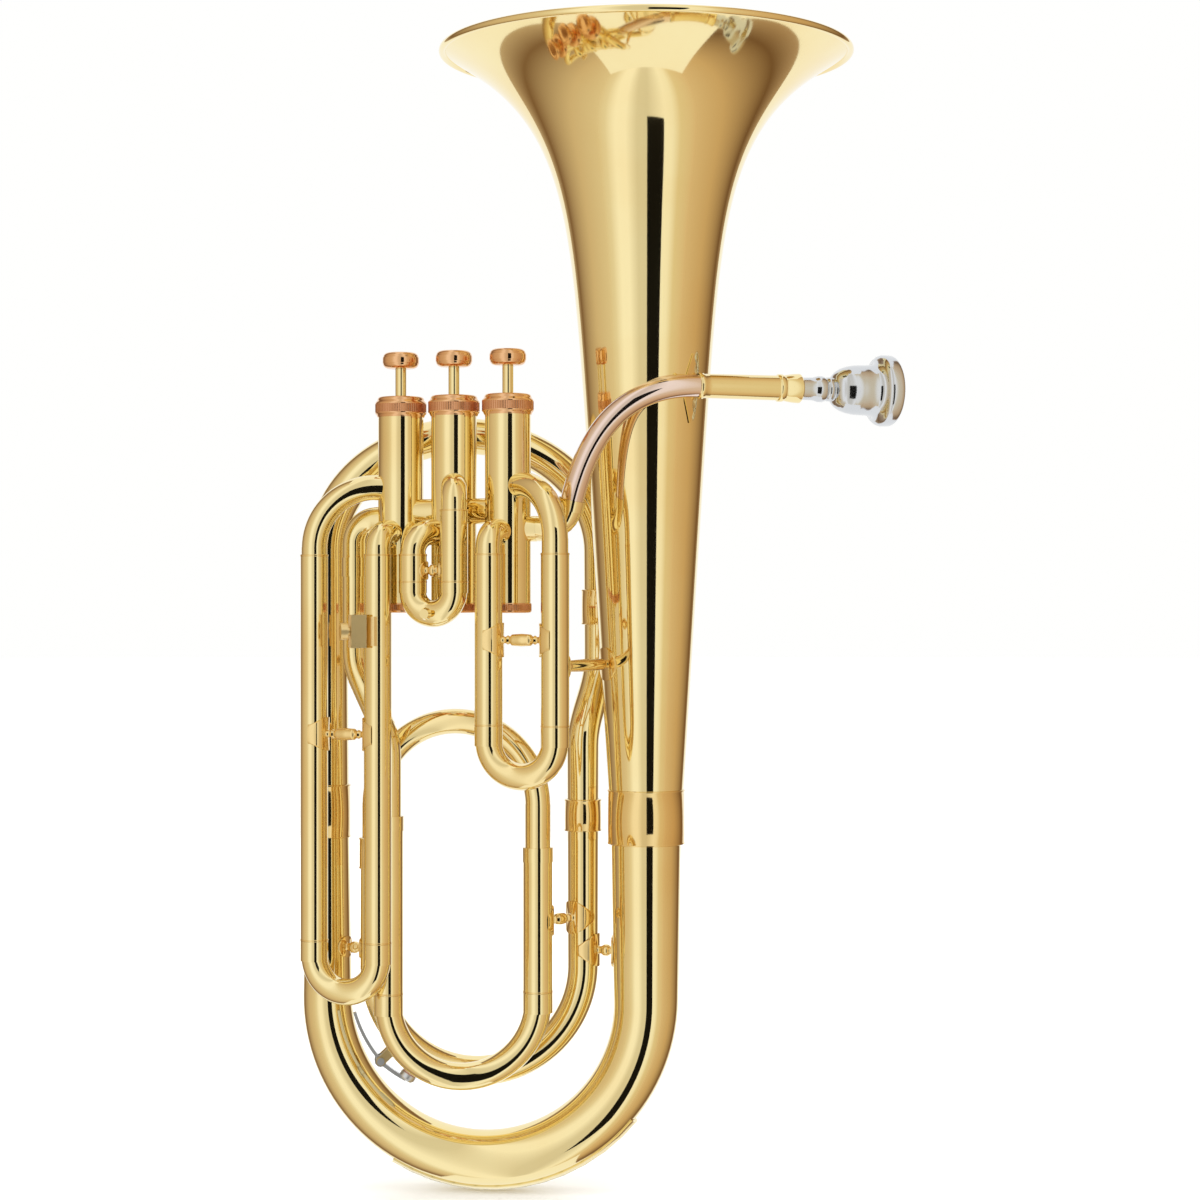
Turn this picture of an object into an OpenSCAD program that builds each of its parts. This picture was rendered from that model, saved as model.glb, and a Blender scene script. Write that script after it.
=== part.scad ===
// Baritone horn with three top-action piston valves, millimetres.
// X runs to the player's right, Y away from the valve side, Z up the bell.
// The origin is the lowest point of the guard under the bottom bow.

/* [Body] */
// Height from the bow guard to the bell rim
overall_h = 638; // [632:1:644]
// Diameter of the bell over its rolled rim
bell_d = 231; // [224:1:236]
// Wall of the bell and the large branches
bell_wall = 0.8; // [0.6:0.1:1.2]
// Radius of the bell's foot, where it enters its ferrule
bell_foot_r = 19.6; // [19.2:0.1:19.9]

/* [Valves] */
// Distance from one valve to the next
valve_pitch = 31.9; // [31.5:0.1:32.5]
// Angle of the valve row about Z
valve_yaw = -20.2; // [-21:0.1:-19.5]
// Outer radius of a valve casing
casing_r = 12.5; // [12.3:0.1:12.6]
// How far a piston travels
stroke = 15; // [12:0.5:15]

/* [Slides] */
// Bore radius of the valve tubing
bore_r = 6.35; // [6.2:0.05:6.4]
// Outer radius of a slide's inner leg
leg_r = 6.8; // [6.7:0.05:6.85]
// Outer radius of a slide's sleeve
sleeve_r = 7.55; // [7.4:0.05:7.7]
// Radial gap between a moving piece and its bore
running_gap = 0.05; // [0.02:0.01:0.08]

/* [Mouthpiece] */
// Outer diameter of the mouthpiece rim
mouthpiece_rim_d = 39.4; // [38:0.2:40]

/* [Hidden] */
$fn = 64;
tube_sides = 20;
slim_sides = 16;
brass = "goldenrod";
rose = "rosybrown";
silver = "silver";

// Places in plan
bell_at = [88.7, 0];
left_at = [-91, 20];
branch_top_at = [63.2, 33];
branch_foot_at = [53.4, 15];
small_left_at = [-62.8, 3];
tuning_left_at = [-53.6, -18];
tuning_right_at = [28.5, -10];
valve_mid = [-17.1, -25];
slide_left = [[3.2, -57], [-38.7, -38.5], [-94.1, -21]];
slide_right = [[39.1, -71], [-15.9, -47.5], [-58, -35]];
exit_at = [-73.3, -5];

// Heights
rim_tube_r = 2;
rim_wire_r = 1.3;
bell_foot_z = 205;
bell_cone = 0.063;
flare_len = 36;
branch_r = 12;
branch_z = 212;
guard_t = 1.6;
bow_low_r = 16.1;
port_high = 393;
port_low = 368;
cross_z = 379.5;
lead_z = 369.7;
exit_z = 375.5;
casing_z0 = 326;
casing_z1 = 437.5;
casing_bore_r = 11.3;
piston_r = casing_bore_r - running_gap;
piston_z0 = 342;
piston_z1 = 431.5;
piston_hollow_z = 358.5;
cap_floor_z = 326;
stem_r = 3.05;
button_z = 458.6;
saddle_r = 9.25;
saddle_t = 0.9;
solder = 0.3;
lap = 0.4;
lap_r = 0.12;

// ---- Vectors, paths and tubes

function unit(v) = v / norm(v);
function valve_at(i) = valve_mid + (2 - i) * valve_pitch * [cos(valve_yaw), sin(valve_yaw)];
function bearing(a, b) = atan2(b.y - a.y, b.x - a.x);
function lift(p, z) = [p.x, p.y, z];
// Half-turn bow from plan point a to plan point b, below z when down is true
function bow_path(a, b, z, rise, n) = [for (i = [0:n]) let (t = 180 * i / n, m = (a + b) / 2)
    lift(m + (a - b) / 2 * cos(t), z + rise * sin(t))];
function bezier(p, n, first = 0) = [for (i = [first:n]) let (t = i / n, s = 1 - t)
    s * s * s * p[0] + 3 * s * s * t * p[1] + 3 * s * t * t * p[2] + t * t * t * p[3]];
function run_lengths(p) = [for (i = 0, s = 0; i < len(p);
    s = s + (i + 1 < len(p) ? norm(p[i + 1] - p[i]) : 0), i = i + 1) s];
function tangent(p, i) = unit(p[min(i + 1, len(p) - 1)] - p[max(i - 1, 0)]);

// Conical tube swept along a path, as one closed polyhedron
module tapered_tube(path, r0, r1, wall, ref, sides) {
    n = len(path);
    s = run_lengths(path);
    points = [for (shell = [0, 1], i = [0:n - 1], k = [0:sides - 1])
        let (t = tangent(path, i), u = unit(cross(t, ref)), v = cross(t, u),
            r = r0 + (r1 - r0) * s[i] / s[n - 1] - shell * wall, a = 360 * k / sides)
        path[i] + r * (cos(a) * u + sin(a) * v)];
    function at(shell, i, k) = (shell * n + i) * sides + k % sides;
    outer = [for (i = [0:n - 2], k = [0:sides - 1], half = [0, 1]) half == 0
        ? [at(0, i, k), at(0, i + 1, k), at(0, i + 1, k + 1)]
        : [at(0, i, k), at(0, i + 1, k + 1), at(0, i, k + 1)]];
    inner = [for (i = [0:n - 2], k = [0:sides - 1], half = [0, 1]) half == 0
        ? [at(1, i, k), at(1, i + 1, k + 1), at(1, i + 1, k)]
        : [at(1, i, k), at(1, i, k + 1), at(1, i + 1, k + 1)]];
    ends = [for (e = [0, n - 1], k = [0:sides - 1], half = [0, 1]) e == 0
        ? (half == 0 ? [at(0, e, k), at(0, e, k + 1), at(1, e, k + 1)]
            : [at(0, e, k), at(1, e, k + 1), at(1, e, k)])
        : (half == 0 ? [at(0, e, k), at(1, e, k + 1), at(0, e, k + 1)]
            : [at(0, e, k), at(1, e, k), at(1, e, k + 1)])];
    polyhedron(points, concat(outer, inner, ends), convexity = 6);
}

// Solid whose cross-section, a list of [angle, radius], is swept along a path
module swept_section(path, sections, ref) {
    n = len(path);
    m = len(sections[0]);
    points = [for (i = [0:n - 1], q = sections[i])
        let (t = tangent(path, i), u = unit(cross(t, ref)), v = cross(t, u))
        path[i] + q[1] * (cos(q[0]) * u + sin(q[0]) * v)];
    function at(i, k) = i * m + k % m;
    walls = [for (i = [0:n - 2], k = [0:m - 1], half = [0, 1]) half == 0
        ? [at(i, k), at(i + 1, k), at(i + 1, k + 1)]
        : [at(i, k), at(i + 1, k + 1), at(i, k + 1)]];
    caps = [[for (k = [0:m - 1]) at(0, k)], [for (k = [m - 1:-1:0]) at(n - 1, k)]];
    polyhedron(points, concat(walls, caps), convexity = 6);
}

module ring(r, bore, h) difference() {
    cylinder(r = r, h = h);
    translate([0, 0, -1]) cylinder(r = bore, h = h + 2);
}
// Straight tube that laps over the ends of the bends it joins
module pipe(r, bore, h, start = lap, stop = lap)
    translate([0, 0, -start]) ring(r + lap_r, bore - lap_r, h + start + stop);
module standing(p, z) translate([p.x, p.y, z]) children();
module facing(p, yaw, z = 0) translate([p.x, p.y, z]) rotate([0, 0, yaw]) children();
module along(p, d) translate(p) rotate([0, acos(unit(d).z), atan2(d.y, d.x)]) children();
// Quarter or part bend in the XZ plane about the origin
module bend(big_r, r, bore, a0, a1) rotate([90, 0, 0]) rotate([0, 0, a0])
    rotate_extrude(angle = a1 - a0) translate([big_r, 0]) difference() {
        circle(r);
        circle(bore);
    }

// ---- Bell and large branches

rim_r = bell_d / 2 - rim_tube_r;
rim_z = overall_h - rim_tube_r;
flare_r = rim_r - bell_foot_r - bell_cone * (rim_z - bell_foot_z);
function bell_r(z) = bell_foot_r + bell_cone * (z - bell_foot_z) + flare_r * exp((z - rim_z) / flare_len);
function bell_slope(z) = bell_cone + flare_r / flare_len * exp((z - rim_z) / flare_len);
bell_steps = 34;
function bell_z(i) = bell_foot_z + (rim_z - bell_foot_z) * (1 - pow(1 - i / bell_steps, 2.4));
function bell_inside(z) = [bell_r(z), z] + bell_wall / sqrt(1 + pow(bell_slope(z), 2)) * [-1, bell_slope(z)];

module bell() color(brass) standing(bell_at, 0) rotate_extrude($fn = 96) difference() {
    union() {
        polygon(concat([for (i = [0:bell_steps]) [bell_r(bell_z(i)), bell_z(i)]],
            [for (i = [bell_steps:-1:0]) bell_inside(bell_z(i))]));
        translate([rim_r, rim_z]) circle(rim_tube_r);
    }
    translate([rim_r, rim_z]) circle(rim_wire_r + running_gap);
}
module bell_rim_wire() color(brass) standing(bell_at, rim_z)
    rotate_extrude($fn = 96) translate([rim_r, 0]) circle(rim_wire_r);

bell_ferrule_z0 = 195;
bell_ferrule_z1 = 225.5;
module bell_ferrule() color(brass) standing(bell_at, 0) rotate_extrude() polygon([
    [21, bell_ferrule_z0], [21.4, bell_ferrule_z0 + 0.8], [21.6, bell_ferrule_z1 - 0.8], [21.3, bell_ferrule_z1],
    [bell_r(bell_ferrule_z1) + running_gap, bell_ferrule_z1], [bell_foot_r + running_gap, bell_foot_z],
    [bell_foot_r + running_gap, bell_ferrule_z0]]);

bow_half = norm(bell_at - left_at) / 2;
bow_z = guard_t + bow_low_r + bow_half;
bow_normal = cross([0, 0, 1], lift(unit(bell_at - left_at), 0));
bow_steps = 22;
bow_route = concat([lift(left_at, branch_z)], bow_path(left_at, bell_at, bow_z, -bow_half, bow_steps),
    [lift(bell_at, bell_foot_z - 0.2)]);
module bottom_bow() color(brass)
    tapered_tube(bow_route, branch_r, bell_foot_r, bell_wall, bow_normal, tube_sides);

// The guard is a crowned strip soldered along the outside of the bow
guard_from = 60;
guard_to = 142;
guard_half = 26;
guard_rings = 12;
module bow_guard() color(brass) {
    mid = (left_at + bell_at) / 2;
    half = (left_at - bell_at) / 2;
    path = [for (i = [0:guard_rings]) let (t = guard_from + (guard_to - guard_from) * i / guard_rings)
        lift(mid + half * cos(t), bow_z - bow_half * sin(t))];
    s = run_lengths(bow_route);
    sections = [for (i = [0:guard_rings])
        let (t = guard_from + (guard_to - guard_from) * i / guard_rings,
            share = (branch_z - bow_z + bow_half * PI * t / 180) / s[len(s) - 1],
            r = branch_r + (bell_foot_r - branch_r) * share + running_gap)
        concat([for (a = [-2:2]) [180 + a * guard_half / 2, r + guard_t * (a * a == 4 ? 0.5 : 1)]],
            [for (a = [2:-1:-2]) [180 + a * guard_half / 2, r]])];
    swept_section(path, sections, bow_normal);
}

module left_ferrule() color(brass) standing(left_at, 197) ring(13, 12.3, 30);

top_spring_z = 359;
top_rise = 65;
top_steps = 20;
branch_joint_z = 327;
top_small_r = 9.2;
top_normal = cross([0, 0, 1], lift(unit(branch_top_at - left_at), 0));
module top_bow() color(brass) tapered_tube(
    concat([lift(branch_top_at, branch_joint_z)],
        bow_path(branch_top_at, left_at, top_spring_z, top_rise, top_steps),
        [lift(left_at, branch_z + 0.2)]),
    top_small_r, branch_r, bell_wall, top_normal, tube_sides);

// Small branch: straight, then leaning back under the bell, then straight
lean_top_z = 299;
lean_foot_z = 249;
branch_foot_z = 210;
small_r = 8.75;
lean_steps = 6;
module small_branch() color(brass) tapered_tube(
    concat([lift(branch_top_at, branch_joint_z - 0.2)],
        [for (i = [0:lean_steps]) let (t = i / lean_steps, f = (1 - cos(180 * t)) / 2)
            lift(branch_top_at + f * (branch_foot_at - branch_top_at),
                lean_top_z + t * (lean_foot_z - lean_top_z))],
        [lift(branch_foot_at, branch_foot_z)]),
    top_small_r, small_r + 0.1, 0.7, top_normal, slim_sides);

module branch_ferrules() color(brass) {
    standing(branch_top_at, 317) ring(10.9, top_small_r + 0.15, 20);
    standing(branch_foot_at, 201) ring(10.5, small_r + 0.15, 18);
    standing(small_left_at, 0) rotate_extrude() polygon([[small_left_r + running_gap, 181], [8.9, 181], [8.9, 198.5],
        [crook_r + lap_r + 0.1, 198.5], [crook_r + lap_r + 0.1, crook_joint_z + 0.1],
        [small_left_r + running_gap, crook_joint_z + 0.1]]);
}

small_bow_z = 125.4;
small_left_r = 7.9;
small_half = norm(branch_foot_at - small_left_at) / 2;
small_normal = cross([0, 0, 1], lift(unit(branch_foot_at - small_left_at), 0));
small_steps = 18;
crook_joint_z = 189;
module small_bow() color(brass) tapered_tube(
    concat([lift(small_left_at, crook_joint_z)],
        bow_path(small_left_at, branch_foot_at, small_bow_z, -small_half, small_steps),
        [lift(branch_foot_at, branch_foot_z - 0.2)]),
    small_left_r, small_r, 0.7, small_normal, slim_sides);

crook_r = 6.9;
crook_bore = 6.45;
crook_z = 217.5;
tuning_sleeve_top = [212, 194];
tuning_sleeve_foot = 113.5;
tuning_leg_r = 7.25;
tuning_sleeve_r = 8.15;
crook_yaw = bearing(small_left_at, tuning_right_at);
crook_half = norm(tuning_right_at - small_left_at) / 2;
module tuning_crook() color(brass) {
    facing((small_left_at + tuning_right_at) / 2, crook_yaw, crook_z) bend(crook_half, crook_r, crook_bore, 0, 180);
    standing(small_left_at, crook_joint_z + 0.2) pipe(crook_r, crook_bore, crook_z - crook_joint_z - 0.2, 0);
    standing(tuning_right_at, tuning_sleeve_top[1] - 6)
        pipe(crook_r, crook_bore, crook_z - tuning_sleeve_top[1] + 6, 0);
}
module tuning_sleeve(p, top) standing(p, 0) {
    translate([0, 0, tuning_sleeve_foot]) ring(tuning_sleeve_r, tuning_leg_r + running_gap, top - tuning_sleeve_foot);
    translate([0, 0, top - 6]) ring(tuning_leg_r + 0.2, crook_r + lap_r + running_gap, 6);
    translate([0, 0, top - 8]) ring(tuning_sleeve_r + 0.3, tuning_sleeve_r - 0.1, 8);
}
module tuning_sleeve_left() color(brass) tuning_sleeve(tuning_left_at, tuning_sleeve_top[0]);
module tuning_sleeve_right() color(brass) tuning_sleeve(tuning_right_at, tuning_sleeve_top[1]);

// Tube from the third valve: round the corner, down, across and into the left tuning sleeve
exit_r = 6.9;
exit_bore = 6.4;
exit_elbow_r = 13;
swerve_r = 30;
swerve_deg = 30;
swerve_z = 303;
module valve_exit_tube() color(brass) {
    third = valve_at(3);
    yaw = bearing(third, exit_at);
    reach = norm(exit_at - third);
    difference() {
        facing(third, yaw) {
            translate([reach - exit_elbow_r, 0, exit_z - exit_elbow_r]) bend(exit_elbow_r, exit_r, exit_bore, 0, 90);
            translate([9, 0, exit_z]) rotate([0, 90, 0]) pipe(exit_r, exit_bore, reach - exit_elbow_r - 9, 0);
        }
        standing(third, exit_z - 20) cylinder(r = casing_r - solder, h = 40);
    }
    standing(exit_at, swerve_z) pipe(exit_r, exit_bore, exit_z - exit_elbow_r - swerve_z);
    standing(exit_at, 344) ring(7.5, exit_r - 0.1, 10.5);
    across = norm(tuning_left_at - exit_at);
    drop = swerve_r * sin(swerve_deg);
    side = swerve_r * (1 - cos(swerve_deg));
    straight = (across - 2 * side) / sin(swerve_deg);
    low_z = swerve_z - 2 * drop - straight * cos(swerve_deg);
    facing(exit_at, bearing(exit_at, tuning_left_at), swerve_z) {
        translate([swerve_r, 0, 0]) bend(swerve_r, exit_r, exit_bore, 180, 180 + swerve_deg);
        translate([side, 0, -drop]) rotate([0, 180 - swerve_deg, 0]) pipe(exit_r, exit_bore, straight);
        translate([across - swerve_r, 0, low_z - swerve_z]) bend(swerve_r, exit_r, exit_bore, 0, swerve_deg);
    }
    standing(tuning_left_at, tuning_sleeve_top[0] - 6)
        pipe(exit_r, exit_bore, low_z - tuning_sleeve_top[0] + 6, 0);
}

// ---- Valves

function slide_bearing(i, left) = bearing(valve_at(i), left ? slide_left[i - 1] : slide_right[i - 1]);
lead_bearing = -8;
module port(az, z, r = bore_r, from = 0) translate([0, 0, z]) rotate([0, 0, az]) rotate([0, 90, 0])
    translate([0, 0, from]) cylinder(r = r, h = casing_r + 2 - from);
function left_port(i) = i == 3 ? port_high : port_low;
function right_port(i) = i == 3 ? port_low : port_high;
function in_bearing(i) = i == 1 ? lead_bearing : valve_yaw;
function in_z(i) = i == 1 ? lead_z : cross_z;
function out_bearing(i) = i == 3 ? bearing(valve_at(3), exit_at) : valve_yaw + 180;
function out_z(i) = i == 3 ? exit_z : cross_z;
module valve_casing(i) color(brass) standing(valve_at(i), 0) difference() {
    union() {
        translate([0, 0, 329.5]) cylinder(r = casing_r, h = casing_z1 - 329.5);
        translate([0, 0, casing_z0]) cylinder(r = 11.85, h = 4);
    }
    translate([0, 0, casing_z0 - 1]) cylinder(r = casing_bore_r, h = casing_z1 - casing_z0 + 2);
    port(in_bearing(i), in_z(i));
    port(out_bearing(i), out_z(i));
    port(slide_bearing(i, true), left_port(i));
    port(slide_bearing(i, false), right_port(i));
}
module valve_casing_1() valve_casing(1);
module valve_casing_2() valve_casing(2);
module valve_casing_3() valve_casing(3);

cap_r = 14.2;
module valve_top_caps() color(brass) for (i = [1:3]) standing(valve_at(i), 0) rotate_extrude()
    polygon([[stem_r + running_gap, 434.7], [11, 434.7], [11, 437.6], [casing_r + running_gap, 437.6],
        [casing_r + running_gap, 431.8], [12.9, 431.8], [cap_r - 0.3, 433.6], [cap_r, 434.2], [cap_r, 439.2],
        [cap_r - 0.4, 440], [12.6, 442.6], [11.8, 443], [stem_r + running_gap, 443]]);
module valve_bottom_caps() color(brass) for (i = [1:3]) standing(valve_at(i), 324) difference() {
    union() {
        cylinder(r1 = 12.2, r2 = 12.95, h = 0.8);
        translate([0, 0, 0.8]) cylinder(r = 12.95, h = 4.6);
    }
    translate([0, 0, cap_floor_z - 324]) cylinder(r = 11.88, h = 8);
    translate([0, 0, -1]) cylinder(r = 2.5, h = 8);
}
module crossover_tubes() color(brass) for (i = [1, 2]) difference() {
    facing(valve_at(i), valve_yaw + 180, cross_z) translate([10, 0, 0]) rotate([0, 90, 0])
        ring(7.1, bore_r, valve_pitch - 20);
    for (k = [i, i + 1]) standing(valve_at(k), cross_z - 20) cylinder(r = casing_r - solder, h = 40);
}

// The windways: one through at rest, and the mouths of those that serve the pressed valve
mouth_r = 4.2;
function wall_point(az, z) = [piston_r * cos(az), piston_r * sin(az), z];
module piston(i) color(silver) standing(valve_at(i), 0) difference() {
    translate([0, 0, piston_z0]) cylinder(r = piston_r, h = piston_z1 - piston_z0);
    translate([0, 0, piston_z0 - 1]) cylinder(r = 9.6, h = piston_hollow_z - piston_z0 + 1);
    from = wall_point(in_bearing(i), in_z(i));
    way = wall_point(out_bearing(i), out_z(i)) - from;
    along(from - 7 * unit(way), way) cylinder(r = bore_r, h = norm(way) + 14);
    port(in_bearing(i), in_z(i) + stroke, mouth_r, 8.4);
    port(out_bearing(i), out_z(i) + stroke, mouth_r, 8.4);
    port(slide_bearing(i, true), left_port(i) + stroke, mouth_r, 8.4);
    port(slide_bearing(i, false), right_port(i) + stroke, mouth_r, 8.4);
    translate([0, 0, piston_z1 - 8]) cylinder(r = 2, h = 9);
}
module piston_1() piston(1);
module piston_2() piston(2);
module piston_3() piston(3);
module valve_stem(i) color(brass) standing(valve_at(i), 0) {
    translate([0, 0, piston_z1 - 7.5]) cylinder(r = 1.95, h = 8);
    translate([0, 0, piston_z1 + 0.05]) cylinder(r = stem_r, h = button_z - piston_z1 - 0.1);
    translate([0, 0, button_z - 0.5]) cylinder(r = 2, h = 5);
}
module valve_stem_1() valve_stem(1);
module valve_stem_2() valve_stem(2);
module valve_stem_3() valve_stem(3);
button_r = 10.05;
button_h = 9;
module finger_button(i) color(brass) standing(valve_at(i), button_z) difference() {
    rotate_extrude() polygon([[0, 0], [6.4, 0], [8.6, 0.7], [9.8, 2.4], [button_r, 4], [button_r, 5.4],
        [9.8, 6.9], [8.7, 8.4], [6.6, button_h], [0, button_h - 0.5]]);
    translate([0, 0, -1]) cylinder(r = 2.03, h = 5.6);
}
module finger_button_1() finger_button(1);
module finger_button_2() finger_button(2);
module finger_button_3() finger_button(3);
spring_r = 8.2;
spring_turns = 6;
turn_steps = 10;
module valve_spring(i) color("gray") standing(valve_at(i), 0) {
    foot = cap_floor_z + 0.6;
    rise = piston_hollow_z - 0.6 - foot;
    route = [for (k = [0:spring_turns * turn_steps]) let (a = 360 * k / turn_steps)
        [spring_r * cos(a), spring_r * sin(a), foot + rise * k / (spring_turns * turn_steps)]];
    swept_section(route, [for (q = route) [for (k = [0:5]) [60 * k, 0.5]]], [0, 0, 1]);
}
module valve_spring_1() valve_spring(1);
module valve_spring_2() valve_spring(2);
module valve_spring_3() valve_spring(3);
module piston_felt(i) color("firebrick") standing(valve_at(i), piston_z1 + 0.02) ring(9.5, stem_r + 0.05, 3);
module piston_felt_1() piston_felt(1);
module piston_felt_2() piston_felt(2);
module piston_felt_3() piston_felt(3);

// ---- Valve slides: a knuckle from the casing, a sleeve, and the moving bow

sleeve_foot = [263.3, 340.2, 143.7];
ferrule_h = [10.5, 5.4, 10.9];
leg_h = [80, 12.5, 150];
bow_sag = [3, 1, 3];
knuckle_r = 6.95;
knuckle_lead = 1.5;
function sleeve_head(i, left) = i == 2 && !left ? 380 : 356;
module sleeve(i, left) color(brass) {
    p = left ? slide_left[i - 1] : slide_right[i - 1];
    valve = valve_at(i);
    z = left ? left_port(i) : right_port(i);
    reach = norm(p - valve);
    turn = reach - casing_r - knuckle_lead;
    difference() {
        facing(valve, bearing(valve, p)) {
            translate([reach - turn, 0, z - turn]) bend(turn, knuckle_r, bore_r, 0, 90);
            translate([9, 0, z]) rotate([0, 90, 0]) pipe(knuckle_r, bore_r, reach - turn - 9, 0);
        }
        standing(valve, z - 20) cylinder(r = casing_r - solder, h = 40);
    }
    standing(p, sleeve_head(i, left) - 3) pipe(knuckle_r, bore_r, z - turn - sleeve_head(i, left) + 3, 0);
    standing(p, sleeve_foot[i - 1])
        ring(sleeve_r, leg_r + running_gap, sleeve_head(i, left) - sleeve_foot[i - 1]);
}
module first_sleeve_left() sleeve(1, true);
module first_sleeve_right() sleeve(1, false);
module second_sleeve_left() sleeve(2, true);
module second_sleeve_right() sleeve(2, false);
module third_sleeve_left() sleeve(3, true);
module third_sleeve_right() sleeve(3, false);

module slide_bow(a, b, foot, collar_h, legs, r_bow, r_leg, r_bore, r_collar, sag) {
    half = norm(b - a) / 2;
    z = foot - collar_h + sag;
    facing((a + b) / 2, bearing(a, b), z) bend(half, r_bow, r_bore, 180, 360);
    for (p = [a, b]) {
        standing(p, foot - collar_h) ring(r_collar, r_bore + 0.3, collar_h);
        standing(p, foot - 1) ring(r_leg, r_bore, legs + 1);
    }
}
module valve_slide(i) color(brass) slide_bow(slide_left[i - 1], slide_right[i - 1],
    sleeve_foot[i - 1] - running_gap, ferrule_h[i - 1], leg_h[i - 1], 7.2, leg_r, bore_r, sleeve_r + 0.05,
    bow_sag[i - 1]);
module first_slide() valve_slide(1);
// The second slide has a pull knob on the front of its bow
module second_slide() {
    valve_slide(2);
    mid = (slide_left[1] + slide_right[1]) / 2;
    low = sleeve_foot[1] - ferrule_h[1] + bow_sag[1] - norm(slide_right[1] - slide_left[1]) / 2;
    color(brass) facing(mid, bearing(slide_left[1], slide_right[1]), low) rotate([90, 0, 0]) {
        translate([0, 0, 6.6]) cylinder(r = 2.2, h = 3.4);
        translate([0, 0, 9.6]) cylinder(r1 = 3.4, r2 = 2.6, h = 2.2);
    }
}
module third_slide() valve_slide(3);
module tuning_slide() color(brass) slide_bow(tuning_left_at, tuning_right_at,
    tuning_sleeve_foot - running_gap, 11, 68, 7.6, tuning_leg_r, 6.7, tuning_sleeve_r + 0.05, 6.5);

// ---- Leadpipe, receiver and mouthpiece

receiver_yaw = 19;
pipe_foot = [47.3, -44, 382];
pipe_foot_dir = unit([0.22, -0.12, 0.97]);
pipe_end = [117.4, -43, 447];
mouth_dir = [cos(receiver_yaw), sin(receiver_yaw), 0];
pipe_steps = 16;
module leadpipe() color(rose) tapered_tube(
    bezier([pipe_foot, pipe_foot + 42 * pipe_foot_dir, pipe_end - 44 * mouth_dir, pipe_end], pipe_steps),
    6.5, 6.05, 0.55, [0, 1, 0], slim_sides);
elbow_steps = 8;
module leadpipe_elbow() color(brass) {
    casing = valve_at(1);
    out = [cos(lead_bearing), sin(lead_bearing), 0];
    start = lift(casing, lead_z) + 15.5 * out;
    difference() {
        along(lift(casing, lead_z) + 9 * out, out) ring(6.95, bore_r, 7);
        standing(casing, lead_z - 20) cylinder(r = casing_r - solder, h = 40);
    }
    tapered_tube(bezier([start, start + 10 * out, pipe_foot - 10 * pipe_foot_dir, pipe_foot - 0.2 * pipe_foot_dir],
        elbow_steps), 6.9, 6.6, 0.5, [0, 1, 0], slim_sides);
    along(pipe_foot - 2.6 * pipe_foot_dir, pipe_foot_dir) ring(7.5, 6.75, 6);
}

// Distances along the mouthpiece axis are from the end of the leadpipe
shank_tip = 31;
shank_tip_r = 5.42;
shank_taper = 0.0241;
receiver_end = 58.4;
rim_face = 114;
function shank_r(t) = shank_tip_r + shank_taper * (t - shank_tip);
module mouthpiece_receiver() color(brass) along(pipe_end, mouth_dir) rotate_extrude() polygon(concat(
    [[6.1, -1.6], [6.7, -1.6], [7.15, -0.9], [7.15, 0.9], [6.6, 1.6], [6.85, 44.5], [7.5, 45.2], [7.6, 46.4],
        [7.5, 47.6], [7, 48.4]],
    [for (a = [0:15:75]) [7 + 1.05 * sin(2 * a / 150 * 90), 48.6 + 9 * a / 75]],
    [[7.3, receiver_end], [shank_r(receiver_end) + running_gap, receiver_end],
        [shank_r(shank_tip) + running_gap, shank_tip], [5.5, shank_tip], [5.5, 0.1], [6.1, 0.1]]));

mouth_rim_r = mouthpiece_rim_d / 2;
cup_mouth_r = 12.8;
cup_depth = 23;
throat_r = 3.3;
throat_t = rim_face - cup_depth - 1;
module mouthpiece() color(silver) along(pipe_end, mouth_dir) rotate_extrude() polygon(concat(
    [[4.9, shank_tip], [shank_r(shank_tip), shank_tip], [shank_r(66), 66], [6.7, 67.6], [7.1, 69], [7.1, 71.4],
        [6.6, 72.8], [5.9, 73.6], [6.6, 74.9], [6.6, 76.4], [6.1, 77.4]],
    [for (a = [0:15:90]) [6.4 + 7.4 * sin(a), 94 - 16 * cos(a)]],
    [[13.9, 98], [14.4, 101.5], [15.6, 103.6], [18.4, 104.8], [mouth_rim_r - 0.4, 105.9], [mouth_rim_r, 107.4],
        [mouth_rim_r, 111]],
    [for (a = [15:15:75]) [mouth_rim_r - 3 + 3 * cos(a), 111 + 3 * sin(a)]],
    [[mouth_rim_r - 3.2, rim_face], [cup_mouth_r + 1.2, rim_face - 0.5], [cup_mouth_r, rim_face - 2]],
    [for (a = [15:15:75]) [throat_r + (cup_mouth_r - throat_r) * cos(a), rim_face - 2 - cup_depth * sin(a)]],
    [[throat_r, throat_t - 3], [throat_r, throat_t - 8]]));

// ---- Braces: a turned rod between two round feet bent to their tubes

foot_gap = 0.05;
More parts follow.
